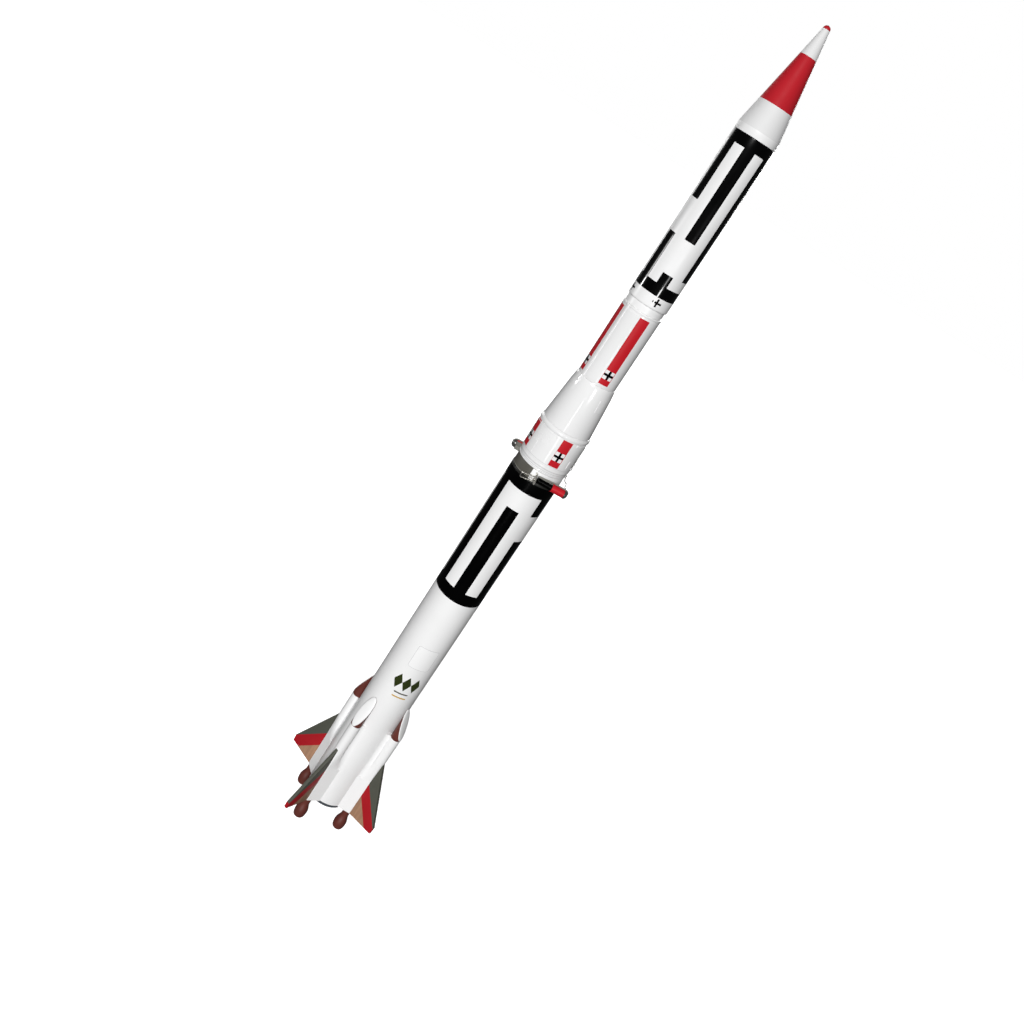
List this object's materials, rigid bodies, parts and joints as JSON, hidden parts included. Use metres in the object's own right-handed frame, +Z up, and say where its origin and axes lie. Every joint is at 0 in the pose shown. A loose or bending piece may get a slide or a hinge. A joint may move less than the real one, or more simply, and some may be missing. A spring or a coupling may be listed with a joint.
{
  "type": "flying model space rocket",
  "caption": "Slim two-section model space rocket with conical nose, striped tubes, clamp joint, and side pods with fins and nozzles; nose and upper section pull off.",
  "frame": {"origin": "on the floor, at the centre of the four nozzle lips, on the rocket's axis", "axes": "+Z up along the rocket's axis to the nose; -Y is the front, with the crosses on the tubes; fins on the diagonals"},
  "size_m": [0.1294, 0.1294, 1.1983],
  "materials": {
    "white_paint": "gloss white paint with printed stripes",
    "grey_paint": "satin grey",
    "slate_paint": "satin slate",
    "plywood": "bare thin plywood",
    "card": "bare wound card",
    "motor_card": "wound card casing with a clay throat",
    "brown_plastic": "satin red-brown",
    "fin_paint": "sealed wood, painted grey-green, red and tan",
    "steel": "bright steel",
    "dark_steel": "dark steel",
    "black_paint": "satin black",
    "red_paint": "gloss red"
  },
  "bodies": {
    "booster": {"lower_tube": "white_paint", "tube_rim": "grey_paint", "interstage_ring": "white_paint", "base_ring": "slate_paint", "motor_plate": "plywood", "upper_plate": "plywood", "motor": "motor_card", "pod_nose_1": "brown_plastic", "pod_cover_1": "white_paint", "pod_body_1": "white_paint", "fin_fairing_1": "white_paint", "fin_1": "fin_paint", "nozzle_1": "brown_plastic", "pod_nose_2": "brown_plastic", "pod_cover_2": "white_paint", "pod_body_2": "white_paint", "fin_fairing_2": "white_paint", "fin_2": "fin_paint", "nozzle_2": "brown_plastic", "pod_nose_3": "brown_plastic", "pod_cover_3": "white_paint", "pod_body_3": "white_paint", "fin_fairing_3": "white_paint", "fin_3": "fin_paint", "nozzle_3": "brown_plastic", "pod_nose_4": "brown_plastic", "pod_cover_4": "white_paint", "pod_body_4": "white_paint", "fin_fairing_4": "white_paint", "fin_4": "fin_paint", "nozzle_4": "brown_plastic", "clamp_fitting_1": "steel", "clamp_barrel_1": "black_paint", "clamp_sleeve_1": "red_paint", "clamp_cap_1": "dark_steel", "clamp_rod_1": "steel", "clamp_bracket_1": "steel", "clamp_fitting_2": "steel", "clamp_barrel_2": "black_paint", "clamp_sleeve_2": "red_paint", "clamp_cap_2": "dark_steel", "clamp_rod_2": "steel", "clamp_bracket_2": "steel"},
    "upper_section": {"stage_coupler": "card", "skirt_lip": "white_paint", "skirt": "white_paint", "skirt_ridge": "white_paint", "flare": "white_paint", "small_tube": "white_paint", "step_ring": "white_paint", "groove_ring": "white_paint", "upper_tube": "white_paint", "raceway": "white_paint"},
    "nose": {"nose_cone": "white_paint", "nose_shoulder": "card", "nose_tip": "red_paint"}
  },
  "joints": [
    {"name": "stage_pull", "type": "slide", "parent": "booster", "child": "upper_section", "axis": [0, 0, 1], "range_m": [0, 0.055]},
    {"name": "nose_pull", "type": "slide", "parent": "upper_section", "child": "nose", "axis": [0, 0, 1], "range_m": [0, 0.042]}
  ]
}
